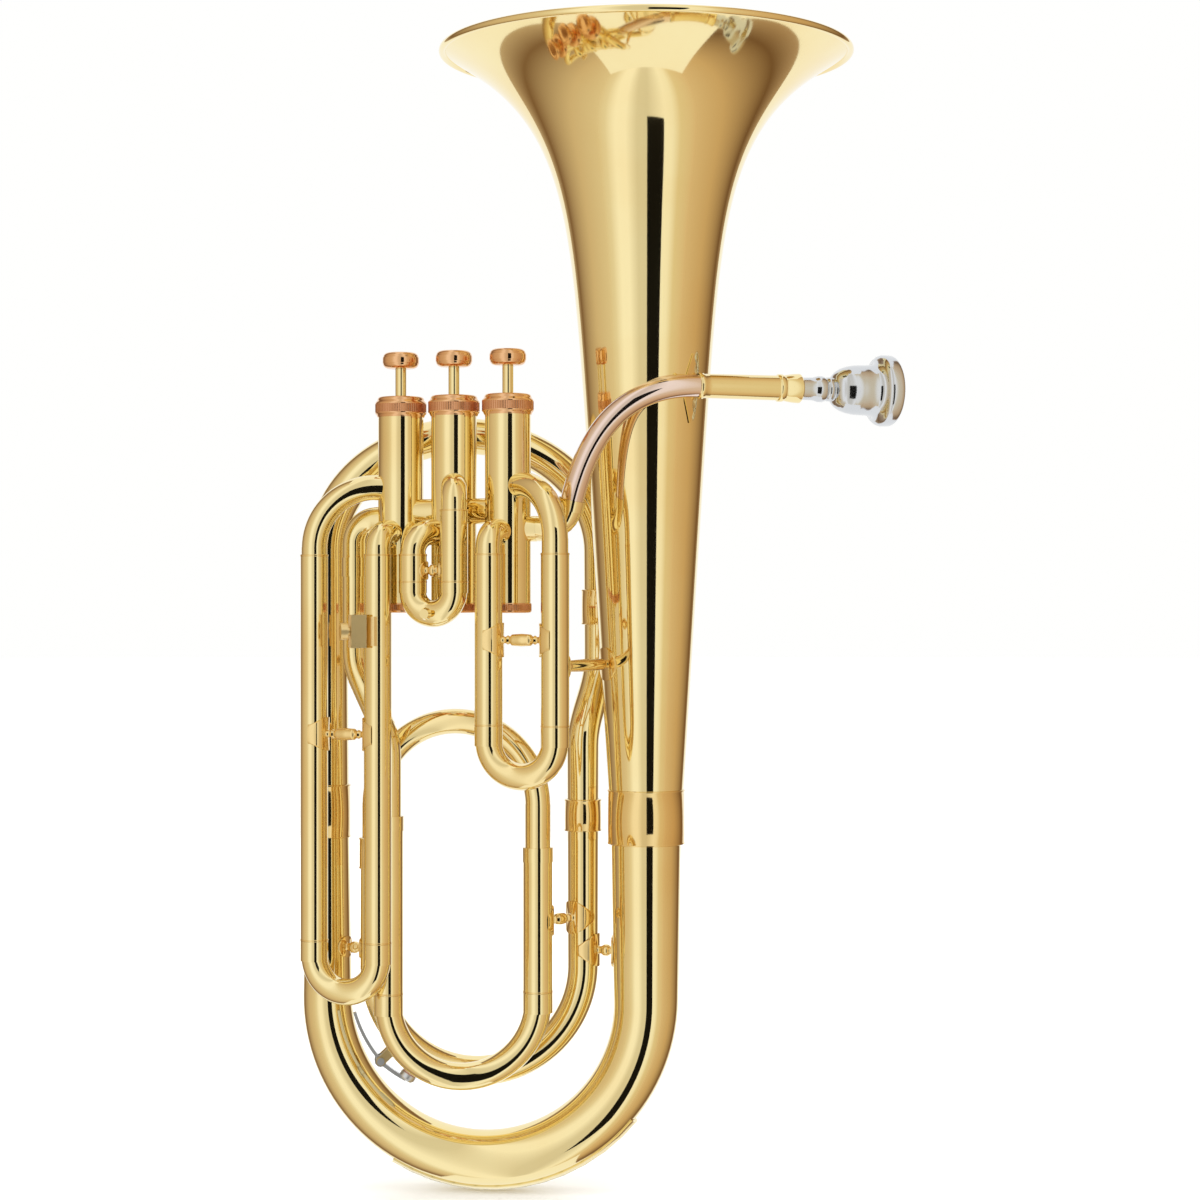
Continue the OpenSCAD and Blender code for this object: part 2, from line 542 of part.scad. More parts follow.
// Saddle foot on a tube of radius r, which grows by slope for each millimetre up
module foot(r, slope = 0) intersection() {
    translate([0, 0, -20]) difference() {
        cylinder(r1 = r - 20 * slope + foot_gap + saddle_t, r2 = r + 20 * slope + foot_gap + saddle_t, h = 40);
        translate([0, 0, -1])
            cylinder(r1 = r - 21 * slope + foot_gap, r2 = r + 21 * slope + foot_gap, h = 42);
    }
    children();
}
module round_cut(r, size = saddle_r) rotate([0, 90, 0]) cylinder(r = size, h = r + 10);
module rod(len) rotate([0, 90, 0]) rotate_extrude() polygon(len > 14
    ? [[0, 0], [3.2, 0], [1.9, 1.6], [1.7, 2.4], [2.5, 3.8], [1.9, 5], [3.1, 6.4], [3.4, len / 2],
        [3.1, len - 6.4], [1.9, len - 5], [2.5, len - 3.8], [1.7, len - 2.4], [1.9, len - 1.6], [3.2, len],
        [0, len]]
    : [[0, 0], [3, 0], [2.1, 1.4], [2.1, 2.4], [3.3, len / 2 - 1], [3.3, len / 2 + 1], [2.1, len - 2.4],
        [2.1, len - 1.4], [3, len], [0, len]]);
module brace(a, ra, b, rb, z, size = saddle_r) {
    gap = norm(b - a);
    facing(a, bearing(a, b), z) {
        foot(ra) round_cut(ra, size);
        translate([gap, 0, 0]) rotate([0, 0, 180]) foot(rb) round_cut(rb, size);
        translate([ra + 0.1, 0, 0]) rod(gap - ra - rb - 0.2);
    }
}
module slide_braces() color(brass) {
    brace(slide_left[0], sleeve_r, slide_right[0], sleeve_r, 309.6);
    brace(slide_left[1], sleeve_r, slide_right[1], sleeve_r, 347, 5);
    brace(slide_left[2], sleeve_r, slide_right[2], sleeve_r, 257.6);
}
bell_brace_z = 295.5;
bell_foot_bearing = 207;
// The bell's body near height z, grown by a little, to cut what is soldered to it
module bell_core(z, grow) standing(bell_at, z - 20) cylinder(r1 = bell_r(z) - 20 * bell_slope(z) + grow,
    r2 = bell_r(z) + 20 * bell_slope(z) + grow, h = 40);
module bell_brace() color(brass) {
    bell_here = bell_r(bell_brace_z);
    target = bell_at + (bell_here + 0.5) * [cos(bell_foot_bearing), sin(bell_foot_bearing)];
    from = slide_right[0];
    facing(bell_at, bell_foot_bearing, bell_brace_z)
        foot(bell_here, bell_slope(bell_brace_z)) round_cut(bell_here);
    facing(from, bearing(from, target), bell_brace_z) foot(sleeve_r) round_cut(sleeve_r, 7.8);
    difference() {
        facing(from, bearing(from, target), bell_brace_z) translate([sleeve_r + 0.1, 0, 0])
            rod(norm(target - from) - sleeve_r + 1.5);
        bell_core(bell_brace_z, 0.4);
    }
}
// The leadpipe's brace stands on a tall pointed foot on the bell
pointed_foot_h = 38;
pointed_foot_w = 13;
pipe_brace_bearing = -47;
pipe_brace_back = 11;
pipe_brace_drop = 0.5;
module leadpipe_brace() color(brass) {
    z = pipe_end.z;
    bell_here = bell_r(z) + 0.1;
    target = bell_at + (bell_here + 0.4) * [cos(pipe_brace_bearing), sin(pipe_brace_bearing)];
    from = pipe_end - pipe_brace_back * mouth_dir - [0, 0, pipe_brace_drop];
    gap = norm(target - [from.x, from.y]);
    facing(bell_at, pipe_brace_bearing, z) foot(bell_here, bell_slope(z))
        rotate([90, 0, 90]) linear_extrude(bell_here + 5) polygon([[-pointed_foot_w / 2, 0],
            [0, -pointed_foot_h / 2], [pointed_foot_w / 2, 0], [0, pointed_foot_h / 2]]);
    difference() {
        facing(from, bearing(from, target), from.z) translate([4, 0, 0]) rotate([0, 90, 0]) rotate_extrude()
            polygon([[0, 0], [3.6, 0], [3.6, 2.6], [2.2, 3.8], [2.2, 5], [3, 6.2], [2.2, 7.4], [2.2, gap - 6],
                [3, gap - 3], [0, gap - 3]]);
        along(from - 10 * mouth_dir, mouth_dir) cylinder(r = 6.1 - solder, h = 20);
        bell_core(z, 0.4);
    }
}
bow_brace_z = 134.5;
left_brace_z = 136;
tuning_brace_z = 153;
function bow_r(z) = branch_r
    + (bell_foot_r - branch_r) * (branch_z - z) / run_lengths(bow_route)[len(bow_route) - 1];
function bow_right_r(z) = bell_foot_r
    - (bell_foot_r - branch_r) * (bell_foot_z - z) / run_lengths(bow_route)[len(bow_route) - 1];
module bow_braces() color(brass) {
    brace(tuning_right_at, tuning_sleeve_r, branch_foot_at, small_r, tuning_brace_z);
    brace(branch_foot_at, small_r, bell_at, bow_right_r(bow_brace_z + saddle_r), bow_brace_z);
    brace(small_left_at, small_left_r + 0.1, left_at, bow_r(left_brace_z - 6), left_brace_z, 6);
}

// ---- Lyre socket on the third slide's right sleeve

lyre_at = [-68.4, -42];
lyre_z0 = 305;
lyre_h = 18;
lyre_w = [8.4, 9.6];
lyre_hole = [5.2, 5.6];
lyre_yaw = 14;
module lyre_socket() color(brass) difference() {
    union() {
        facing(lyre_at, lyre_yaw, lyre_z0) translate([-lyre_w.x / 2, -lyre_w.y / 2, 0])
            cube([lyre_w.x, lyre_w.y, lyre_h]);
        facing(slide_right[2], bearing(slide_right[2], lyre_at), lyre_z0 + 1) intersection() {
            cylinder(r = sleeve_r + 1.1, h = lyre_h - 2);
            translate([0, -6.4, 0]) cube([20, 12.8, lyre_h]);
        }
    }
    facing(lyre_at, lyre_yaw, lyre_z0) {
        translate([-lyre_hole.x / 2, -lyre_hole.y / 2, -1]) cube([lyre_hole.x, lyre_hole.y, lyre_h + 2]);
        translate([0, 0, lyre_h / 2]) rotate([0, -90, 0]) cylinder(r = 1.55, h = 20);
    }
    standing(slide_right[2], lyre_z0 - 1) cylinder(r = sleeve_r + foot_gap, h = lyre_h + 2);
}
module lyre_screw() color(brass) facing(lyre_at, lyre_yaw, lyre_z0 + lyre_h / 2)
    translate([-lyre_hole.x / 2 - 0.1, 0, 0]) rotate([0, -90, 0]) {
        cylinder(r = 1.5, h = 4);
        translate([0, 0, 1.7]) cylinder(r = 2.4, h = 1.4);
        translate([0, 0, 3]) cylinder(r = 4.7, h = 3.8);
    }

// ---- Water key on the small bow. Angles run round the bow's centre, seen from the valve side

key_yaw = bearing(small_left_at, branch_foot_at);
key_centre = (small_left_at + branch_foot_at) / 2;
pivot_deg = 223;
pivot_out = small_half + 17.2;
nipple_deg = 236.5;
nipple_out = small_half + 7.6;
handle_deg = 199.5;
handle_out = small_half + 15.4;
lever_w = 5;
lever_t = 1.7;
module bow_frame() facing(key_centre, key_yaw, small_bow_z) rotate([90, 0, 0]) children();
module at_bow(deg, out) rotate([0, 0, deg]) translate([out, 0, 0]) children();
module water_key_saddle() color(brass) bow_frame() {
    at_bow(nipple_deg, nipple_out) rotate([0, 90, 0]) ring(3.6, 1.6, 3.4);
    at_bow(pivot_deg, 0) difference() {
        union() {
            for (side = [-1, 1]) translate([small_half + 8, -2.6, side * 4.3 - 0.7]) cube([9.2, 5.2, 1.4]);
            for (side = [-1, 1]) translate([pivot_out, 0, side * 4.3 - 0.7]) cylinder(r = 2.6, h = 1.4);
            translate([small_half + 7.9, -3.6, -5]) cube([1.6, 7.2, 10]);
        }
        translate([pivot_out, 0, -8]) cylinder(r = 1.25, h = 16);
    }
}
lever_steps = 12;
function lever_deg(t) = handle_deg + t * (pivot_deg - handle_deg);
function lever_out(t) = handle_out + t * (pivot_out - handle_out);
function arc_at(deg, out) = out * [cos(deg), sin(deg)];
cork_out = nipple_out + 3.5;
module water_key_lever() color(silver) bow_frame() difference() {
    union() {
        translate([0, 0, -lever_w / 2]) linear_extrude(lever_w) polygon(concat(
            [for (i = [0:lever_steps]) let (t = i / lever_steps) arc_at(lever_deg(t), lever_out(t) + lever_t / 2)],
            [for (i = [0:5]) let (t = i / 5) arc_at(pivot_deg + t * (nipple_deg - pivot_deg),
                pivot_out + 1.6 + t * (cork_out + 6.2 - pivot_out - 1.6))],
            [for (i = [5:-1:0]) let (t = i / 5) arc_at(pivot_deg + t * (nipple_deg - pivot_deg),
                pivot_out - 0.4 + t * (cork_out + 4.2 - pivot_out + 0.4))],
            [for (i = [lever_steps:-1:0]) let (t = i / lever_steps) arc_at(lever_deg(t), lever_out(t) - lever_t / 2)]));
        at_bow(pivot_deg, pivot_out) translate([0, 0, -3.4]) cylinder(r = 2.4, h = 6.8);
        at_bow(nipple_deg, cork_out + 1.9) rotate([0, 90, 0]) ring(4.7, 4.2, 2.6);
        at_bow(nipple_deg, cork_out + 4) rotate([0, 90, 0]) cylinder(r1 = 4.7, r2 = 3.6, h = 1.6);
    }
    at_bow(pivot_deg, pivot_out) translate([0, 0, -4]) cylinder(r = 1.25, h = 8);
}
module water_key_cork() color("sienna") bow_frame() at_bow(nipple_deg, cork_out) rotate([0, 90, 0])
    cylinder(r = 4.1, h = 3.9);
module water_key_screw() color(silver) bow_frame() at_bow(pivot_deg, pivot_out) {
    translate([0, 0, -5.4]) cylinder(r = 1.2, h = 10.8);
    translate([0, 0, 5.1]) cylinder(r = 2.1, h = 1);
}
// A torsion spring: one coil each side of the lever's barrel
module water_key_spring() color("gray") bow_frame() at_bow(pivot_deg, pivot_out) for (side = [-1, 1])
    translate([0, 0, side * 2.95 - 0.35]) ring(3.3, 2.6, 0.6);

bell();
bell_rim_wire();
bell_ferrule();
bottom_bow();
bow_guard();
left_ferrule();
top_bow();
small_branch();
branch_ferrules();
small_bow();
tuning_crook();
tuning_sleeve_left();
tuning_sleeve_right();
valve_exit_tube();
valve_casing_1();
valve_casing_2();
valve_casing_3();
valve_top_caps();
valve_bottom_caps();
crossover_tubes();
first_sleeve_left();
first_sleeve_right();
second_sleeve_left();
second_sleeve_right();
third_sleeve_left();
third_sleeve_right();
leadpipe();
leadpipe_elbow();
mouthpiece_receiver();
bell_brace();
leadpipe_brace();
slide_braces();
bow_braces();
lyre_socket();
lyre_screw();
water_key_saddle();
water_key_lever();
water_key_cork();
water_key_screw();
water_key_spring();
mouthpiece();
piston_1();
piston_2();
piston_3();
valve_stem_1();
valve_stem_2();
valve_stem_3();
finger_button_1();
finger_button_2();
finger_button_3();
valve_spring_1();
valve_spring_2();
valve_spring_3();
piston_felt_1();
piston_felt_2();
piston_felt_3();
first_slide();
second_slide();
third_slide();
tuning_slide();
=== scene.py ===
from math import cos, exp, pi, radians, sin, sqrt

import bmesh
import bpy
from mathutils import Matrix, Vector


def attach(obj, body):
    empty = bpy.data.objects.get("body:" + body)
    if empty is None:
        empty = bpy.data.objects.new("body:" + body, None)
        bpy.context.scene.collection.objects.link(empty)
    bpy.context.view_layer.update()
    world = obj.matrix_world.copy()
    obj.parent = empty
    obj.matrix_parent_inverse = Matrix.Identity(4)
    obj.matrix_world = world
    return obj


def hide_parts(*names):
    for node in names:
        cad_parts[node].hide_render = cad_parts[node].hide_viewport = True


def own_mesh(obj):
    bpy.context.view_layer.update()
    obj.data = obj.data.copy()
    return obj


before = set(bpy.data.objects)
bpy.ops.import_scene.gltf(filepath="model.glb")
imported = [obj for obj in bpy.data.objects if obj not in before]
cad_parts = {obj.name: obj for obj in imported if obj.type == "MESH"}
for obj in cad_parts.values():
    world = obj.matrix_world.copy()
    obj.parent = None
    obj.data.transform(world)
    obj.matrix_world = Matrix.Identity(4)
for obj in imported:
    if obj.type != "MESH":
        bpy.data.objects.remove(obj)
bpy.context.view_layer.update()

# The camera stands a metre and a half in front of the valves, level with the third slide's brace,
# with a long lens, so the upright tubes stay parallel.
mm = 0.001


def at(x, y, z):
    return Vector((x, y, z)) * mm


camera = bpy.data.objects.new("camera", bpy.data.cameras.new("camera"))
bpy.context.collection.objects.link(camera)
camera.location = at(63, -1480, 331)
camera.rotation_euler = (radians(90), 0, 0)
camera.data.sensor_width = 36
camera.data.lens = 79.6
camera.data.clip_end = 100
bpy.context.scene.camera = camera

# The studio: a white floor that runs off into a white tent, and big soft panels either side and above.
# Tinted screens and a black flag behind the camera are seen by polished metal only. They draw the
# black line down every tube and darken its edges.
tent = bpy.data.worlds.new("tent")
bpy.context.scene.world = tent
tent.use_nodes = True
tent.node_tree.nodes["Background"].inputs["Color"].default_value = (1, 1, 0.99, 1)
tent.node_tree.nodes["Background"].inputs["Strength"].default_value = 1.0
bpy.context.scene.view_settings.view_transform = "Standard"


class Shader:
    """A socket in a material's nodes. Sums and products of sockets add the Math nodes they need."""

    def __init__(self, tree, socket=None):
        self.tree = tree
        self.socket = socket

    def node(self, kind, settings, sockets, out=0):
        """Adds a node: its settings first, then the values or links of its sockets."""
        made = self.tree.nodes.new(kind)
        for name, value in settings.items():
            if name == "stops":
                ends = made.color_ramp.elements
                ends[0].position, ends[0].color = value[0]
                ends[1].position, ends[1].color = value[-1]
                for place, colour in value[1:-1]:
                    ends.new(place).color = colour
            else:
                setattr(made, name, value)
        for name, value in sockets.items():
            if isinstance(value, Shader):
                self.tree.links.new(value.socket, made.inputs[name])
            else:
                made.inputs[name].default_value = value
        return Shader(self.tree, made.outputs[out])

    def sum_of(self, operation, first, second):
        return self.node("ShaderNodeMath", {"operation": operation}, {0: first, 1: second})

    def __add__(self, other):
        return self.sum_of("ADD", self, other)

    __radd__ = __add__

    def __mul__(self, other):
        return self.sum_of("MULTIPLY", self, other)

    __rmul__ = __mul__

    def __sub__(self, other):
        return self.sum_of("SUBTRACT", self, other)

    def __rsub__(self, other):
        return self.sum_of("SUBTRACT", other, self)

    def __pow__(self, other):
        return self.sum_of("POWER", self, other)

    def __rpow__(self, other):
        return self.sum_of("POWER", other, self)


def new_material(name, fixed):
    """A material whose even values sit on its shader's own sockets."""
    material = bpy.data.materials.new(name)
    material.use_nodes = True
    surface = material.node_tree.nodes["Principled BSDF"]
    for socket, value in fixed.items():
        surface.inputs[socket].default_value = value
    return material, Shader(material.node_tree), surface


def feed(material, surface, socket, value):
    material.node_tree.links.new(value.socket, surface.inputs[socket])


floor_paint, _, _ = new_material("floor_paint", {
    "Base Color": (0.97, 0.97, 0.96, 1), "Roughness": 0.7, "Emission Color": (1, 1, 1, 1),
    "Emission Strength": 0.07})
floor_mesh = bmesh.new()
bmesh.ops.create_circle(floor_mesh, cap_ends=True, segments=64, radius=14)
floor = bpy.data.objects.new("floor", bpy.data.meshes.new("floor"))
floor_mesh.to_mesh(floor.data)
floor_mesh.free()
floor.data.materials.append(floor_paint)
bpy.context.collection.objects.link(floor)
floor.visible_glossy = False


def upright(mesh, place, turn, stretch):
    """Stands a flat sheet on its edge, stretches it and turns it about the upright."""
    bmesh.ops.transform(mesh, verts=mesh.verts, matrix=(
        Matrix.Translation(place) @ Matrix.Rotation(radians(turn), 4, "Z")
        @ Matrix.Rotation(radians(-90), 4, "X") @ Matrix.Diagonal(stretch)))


def hang(name, mesh, paint):
    """Hangs a sheet in the studio where only polished metal sees it."""
    sheet = bpy.data.objects.new(name, bpy.data.meshes.new(name))
    mesh.to_mesh(sheet.data)
    mesh.free()
    sheet.data.materials.append(paint)
    bpy.context.collection.objects.link(sheet)
    sheet.visible_camera = False
    sheet.visible_diffuse = False
    sheet.visible_shadow = False


screen_half = 4


def screen(name, place, turn, stops):
    """An upright screen, eight metres wide. Its shade changes across it."""
    paint, nodes, surface = new_material(name + "_cloth", {
        "Base Color": (0, 0, 0, 1), "Roughness": 1, "Emission Strength": 1})
    spot = nodes.node("ShaderNodeTexCoord", {}, {}, 3)
    axis = 1 if turn else 0
    across = nodes.node("ShaderNodeSeparateXYZ", {}, {"Vector": spot}, axis)
    share = (across - place[axis]) * (0.5 / screen_half) + 0.5
    shade = nodes.node("ShaderNodeValToRGB", {"stops": stops}, {"Fac": share})
    feed(paint, surface, "Emission Color", shade)
    mesh = bmesh.new()
    bmesh.ops.create_grid(mesh, x_segments=1, y_segments=1, size=screen_half)
    upright(mesh, place, turn, (1, 3, 1, 1))
    hang(name, mesh, paint)


screen("front_screen", Vector((0.063, -2.3, 0.3)), 0, [
    (0.0, (0.74, 0.65, 0.50, 1)), (0.14, (0.80, 0.74, 0.62, 1)), (0.27, (1.0, 0.99, 0.97, 1)),
    (0.36, (1.0, 0.99, 0.97, 1)), (0.44, (0.74, 0.71, 0.64, 1)), (0.505, (0.72, 0.69, 0.62, 1)),
    (0.62, (0.98, 0.97, 0.94, 1)), (0.68, (0.94, 0.92, 0.86, 1)), (0.76, (0.76, 0.66, 0.48, 1)),
    (1.0, (0.70, 0.54, 0.36, 1))])
screen("left_screen", Vector((-3.94, 1.7, 0.3)), 90, [
    (0.0, (0.74, 0.65, 0.50, 1)), (0.3, (0.64, 0.51, 0.36, 1)), (0.75, (0.20, 0.11, 0.05, 1)),
    (1.0, (0.50, 0.38, 0.26, 1))])
screen("right_screen", Vector((4.06, 1.7, 0.3)), 90, [
    (0.0, (0.70, 0.54, 0.36, 1)), (0.3, (0.60, 0.42, 0.24, 1)), (0.75, (0.16, 0.08, 0.03, 1)),
    (1.0, (0.42, 0.29, 0.18, 1))])

flag_cloth, _, _ = new_material("flag_cloth", {"Base Color": (0, 0, 0, 1), "Roughness": 1})
flag_mesh = bmesh.new()
bmesh.ops.create_grid(flag_mesh, x_segments=1, y_segments=1, size=0.5)
upright(flag_mesh, Vector((0.52, -2.2, -0.4)), 0, (0.84, 3.0, 1, 1))
hang("flag", flag_mesh, flag_cloth)

for name, place, width, height, watts in (
        ("left_panel", (-1500, -700, 600), 900, 1700, 9),
        ("right_panel", (1600, -500, 600), 700, 1700, 8),
        ("back_panel", (300, 1900, 900), 1600, 1600, 10),
        ("top_panel", (0, -200, 2200), 1600, 1600, 14)):
    panel = bpy.data.objects.new(name, bpy.data.lights.new(name, "AREA"))
    panel.data.shape = "RECTANGLE"
    panel.data.size = width * mm
    panel.data.size_y = height * mm
    panel.data.energy = watts
    panel.location = at(*place)
    panel.rotation_euler = (at(0, 0, 320) - panel.location).to_track_quat("-Z", "Y").to_euler()
    panel.visible_camera = False
    panel.visible_glossy = False
    bpy.context.collection.objects.link(panel)

# Bottom bow: one tapered yellow-brass branch, bent over a mandrel, burnished and lacquered.
# It climbs into the bell's ferrule on one side and the left ferrule on the other.
yellow_tint = (0.94, 0.80, 0.43, 1)
amber_tint = (0.88, 0.62, 0.24, 1)


def metal(name, tint, shade, rough, ripple, lacquer):
    """Polished metal: faint uneven colour, hairline polishing marks and soft handling marks."""
    material, nodes, surface = new_material(name, {
        "Metallic": 1, "Coat Weight": lacquer, "Coat Roughness": 0.03, "Coat IOR": 1.5})
    place = nodes.node("ShaderNodeTexCoord", {}, {}, 3)
    cloud = nodes.node("ShaderNodeTexNoise", {}, {"Vector": place, "Scale": 14, "Detail": 4})
    patch = nodes.node("ShaderNodeMapRange", {}, {"Value": cloud, "From Min": 0.42, "From Max": 0.72})
    grain = nodes.node("ShaderNodeTexNoise", {}, {"Vector": place, "Scale": 1400, "Detail": 2})
    colour = nodes.node("ShaderNodeMix", {"data_type": "RGBA"}, {0: patch * 0.35, 6: tint, 7: shade}, 2)
    feed(material, surface, "Base Color", colour)
    smudge = nodes.node("ShaderNodeTexNoise", {}, {
        "Vector": place, "Scale": 38, "Detail": 5, "Roughness": 0.7})
    feed(material, surface, "Roughness", rough + (smudge ** 3) * rough * 2 + grain * rough * 0.5)
    swell = nodes.node("ShaderNodeTexNoise", {}, {"Vector": place, "Scale": 55, "Detail": 1})
    bump = nodes.node("ShaderNodeBump", {}, {
        "Height": swell + grain * 0.04, "Strength": ripple, "Distance": 0.0002})
    feed(material, surface, "Normal", bump)
    return material


lacquered_brass = metal("lacquered_brass", yellow_tint, amber_tint, 0.035, 0.06, 0.25)


def finish(mesh, name, material, body, nodes=(), crease=40):
    """Closes a shape's seams, turns its faces outwards and sets it on its body as a finished piece."""
    bmesh.ops.remove_doubles(mesh, verts=mesh.verts, dist=0.002 * mm)
    bmesh.ops.recalc_face_normals(mesh, faces=mesh.faces)
    for edge in mesh.edges:
        edge.smooth = len(edge.link_faces) == 2 and edge.calc_face_angle(0) < radians(crease)
    for face in mesh.faces:
        face.smooth = True
    piece = bpy.data.objects.new(name, bpy.data.meshes.new(name))
    mesh.to_mesh(piece.data)
    mesh.free()
    piece.data.materials.append(material)
    bpy.context.collection.objects.link(piece)
    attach(piece, body)
    if nodes:
        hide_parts(*nodes)
    return piece


def sweep(route, radii, side_on, sides=56, wall=0.7 * mm):
    """Carries a ring along a route, outside and then back inside, and joins the two at each end.
    With no wall it makes a solid rod, closed at both ends."""
    def pose(i, thinner):
        before = route[max(i - 1, 0)]
        ahead = route[min(i + 1, len(route) - 1)]
        way = (ahead - before).normalized()
        across = way.cross(side_on).normalized()
        turn = Matrix((across, way.cross(across), way)).transposed().to_4x4()
        return Matrix.Translation(route[i]) @ turn @ Matrix.Scale(radii[i] - thinner, 4)

    mesh = bmesh.new()
    rings = [bmesh.ops.create_circle(mesh, segments=sides, radius=1)["verts"]]
    bmesh.ops.transform(mesh, verts=rings[0], matrix=pose(0, 0))
    loop = list({edge for vert in rings[0] for edge in vert.link_edges})
    first = loop
    stops = [(i, 0) for i in range(len(route))]
    if wall:
        stops += [(i, wall) for i in reversed(range(len(route)))]
    for last, here in zip(stops, stops[1:]):
        grown = bmesh.ops.extrude_edge_only(mesh, edges=loop)["geom"]
        verts = [part for part in grown if isinstance(part, bmesh.types.BMVert)]
        loop = [part for part in grown if isinstance(part, bmesh.types.BMEdge)
                and all(vert in set(verts) for vert in part.verts)]
        bmesh.ops.transform(mesh, verts=verts, matrix=pose(*here) @ pose(*last).inverted())
    if wall:
        bmesh.ops.bridge_loops(mesh, edges=first + loop)
    else:
        bmesh.ops.edgeloop_fill(mesh, edges=first + loop)
    return mesh


def run_lengths(route):
    lengths = [0]
    for here, there in zip(route, route[1:]):
        lengths.append(lengths[-1] + (there - here).length)
    return lengths


def taper(route, start, end):
    """Radii that grow evenly along a route."""
    lengths = run_lengths(route)
    return [start + (end - start) * length / lengths[-1] for length in lengths]


def bow(a, b, spring, rise, steps=40):
    """Half a turn from above plan point a to above plan point b."""
    middle = (a + b) / 2
    half = (a - b) / 2
    turns = [pi * i / steps for i in range(steps + 1)]
    return [middle + half * cos(turn) + Vector((0, 0, spring + rise * sin(turn))) for turn in turns]


def standing(plan, height):
    return Vector((plan.x, plan.y, height))


def side_of(a, b):
    """The direction square to the upright plane through two plan points."""
    return Vector((0, 0, 1)).cross(b - a).normalized()


bell_plan = at(88.7, 0, 0)
left_plan = at(-91, 20, 0)
guard_thick = 1.6 * mm
bow_low_r = 16.1 * mm
bow_half = (bell_plan - left_plan).length / 2
bow_spring = guard_thick + bow_low_r + bow_half
branch_r = 12 * mm
bell_foot_r = 19.6 * mm
bell_foot = 205 * mm
branch_end = 212 * mm
bottom_route = ([standing(left_plan, branch_end), standing(left_plan, 160 * mm)]
                + bow(left_plan, bell_plan, bow_spring, -bow_half, 64)
                + [standing(bell_plan, 160 * mm), standing(bell_plan, bell_foot - 0.2 * mm)])
bottom_radii = taper(bottom_route, branch_r, bell_foot_r)
finish(sweep(bottom_route, bottom_radii, side_of(left_plan, bell_plan), 72), "bottom_bow_branch",
       lacquered_brass, "plumbing", ["bottom_bow"])

# Bow guard: a crowned strip of the same brass, soldered under the bow where the horn is set down.
# Its surface is rubbed duller and scratched.
worn_brass = metal("worn_brass", yellow_tint, (0.78, 0.55, 0.22, 1), 0.09, 0.14, 0.1)


def skin(node, material, body, crease=32):
    """The node's own shape with its seams closed, so that it shades smoothly."""
    mesh = bmesh.new()
    mesh.from_mesh(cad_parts[node].data)
    return finish(mesh, node + "_piece", material, body, [node], crease)


skin("bow_guard", worn_brass, "plumbing", 25)

# Bell: a hammered and spun flare of thin yellow brass. Its edge is rolled over a wire, and its foot
# is soldered into a ferrule on the bottom bow.
rim_tube = 2 * mm
rim_r = 113.5 * mm
rim_top = 636 * mm
bell_wall = 0.8 * mm
bell_cone = 0.063
flare_length = 36 * mm
flare_r = rim_r - bell_foot_r - bell_cone * (rim_top - bell_foot)


def bell_r(z):
    return bell_foot_r + bell_cone * (z - bell_foot) + flare_r * exp((z - rim_top) / flare_length)


def bell_slope(z):
    return bell_cone + flare_r / flare_length * exp((z - rim_top) / flare_length)


def spun(profile, plan, steps=96):
    """Turns a closed outline of (radius, height) pairs about the upright axis over a plan point."""
    mesh = bmesh.new()
    verts = [mesh.verts.new((radius, 0, height)) for radius, height in profile]
    edges = [mesh.edges.new((here, there)) for here, there in zip(verts, verts[1:] + verts[:1])
             if here.co.x + there.co.x > 0]
    bmesh.ops.spin(mesh, geom=verts + edges, cent=(0, 0, 0), axis=(0, 0, 1), angle=2 * pi, steps=steps,
                   use_merge=True)
    bmesh.ops.transform(mesh, verts=mesh.verts, matrix=Matrix.Translation(plan))
    return mesh


bell_steps = 70
sheet_end = 635.05 * mm
heights = [bell_foot + (sheet_end - bell_foot) * (1 - (1 - i / bell_steps) ** 2)
           for i in range(bell_steps + 1)]
outside = [(bell_r(z), z) for z in heights]
bead = [(rim_r + rim_tube * cos(radians(a)), rim_top + rim_tube * sin(radians(a)))
        for a in range(210, 541, 15)]


def inner_skin(z):
    """The point one wall's thickness in from the outside, square to the sheet."""
    lean = sqrt(1 + bell_slope(z) ** 2)
    return bell_r(z) - bell_wall / lean, z + bell_wall * bell_slope(z) / lean


inside = [inner_skin(z) for z in reversed(heights)]
finish(spun(outside + bead + inside, bell_plan, 160), "bell_flare", lacquered_brass, "plumbing",
       ["bell"], 60)

# Rim wire: drawn brass wire, which the edge of the bell is rolled over to stiffen it. It shows only
# where the roll closes on it, and is dull there.


def dress(material, *nodes):
    """Gives nodes that keep their own shape the finish of the real piece."""
    for node in nodes:
        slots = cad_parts[node].data.materials
        slots.clear()
        slots.append(material)


dress(worn_brass, "bell_rim_wire")

# Ferrules: drawn brass bands over the joints of the branches, with rolled lips that catch the light.
# They are burnished a shade redder than the branches, and the solder line shows as a dark edge.
ferrule_brass = metal("ferrule_brass", (0.90, 0.69, 0.32, 1), (0.82, 0.54, 0.20, 1), 0.05, 0.08, 0.2)
lip = 0.28 * mm


def band(name, plan, foot, top, outer, bore_foot, bore_top, nodes):
    """A drawn band: square to the tube at both ends, with a small rounded lip at each."""
    outline = [(bore_foot, foot), (outer - lip, foot), (outer + lip, foot + lip),
               (outer + lip, foot + 3 * lip), (outer, foot + 4 * lip), (outer, top - 4 * lip),
               (outer + lip, top - 3 * lip), (outer + lip, top - lip), (outer - lip, top),
               (bore_top, top)]
    finish(spun(outline, plan), name, ferrule_brass, "plumbing", nodes, 50)


